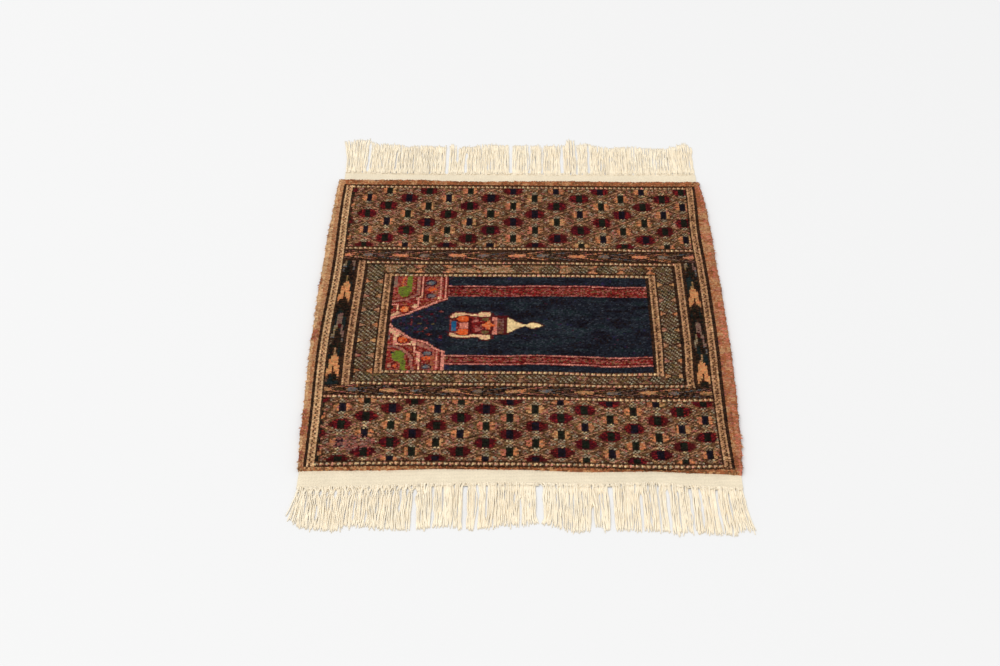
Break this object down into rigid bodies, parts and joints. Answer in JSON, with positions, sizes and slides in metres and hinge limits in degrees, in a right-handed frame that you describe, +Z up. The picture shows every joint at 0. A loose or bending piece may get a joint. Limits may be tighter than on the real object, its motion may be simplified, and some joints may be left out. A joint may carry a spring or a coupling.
{
  "type": "bukhara rug",
  "caption": "Small hand-knotted wool rug of the Bukhara prayer design, lying flat, with plain kilim ends and knotted cotton fringes",
  "frame": {"origin": "middle of the rug's footprint, fringes included, on the surface that it lies on", "axes": "+Y runs along the rug from the near fringe to the far fringe, +X runs across it to the right, +Z points up out of the pile"},
  "size_m": [0.621, 0.8806, 0.0079],
  "materials": {
    "wool_pile": "short dense knotted wool pile, matt with a soft sheen, in navy, maroon, tan, rust and black",
    "cotton_fringe": "undyed cream cotton, matt, plain woven at the ends and plied in the fringe"
  },
  "bodies": {
    "root": {"rug_cloth": "wool_pile", "fringe_near": "cotton_fringe", "fringe_far": "cotton_fringe"}
  },
  "joints": []
}
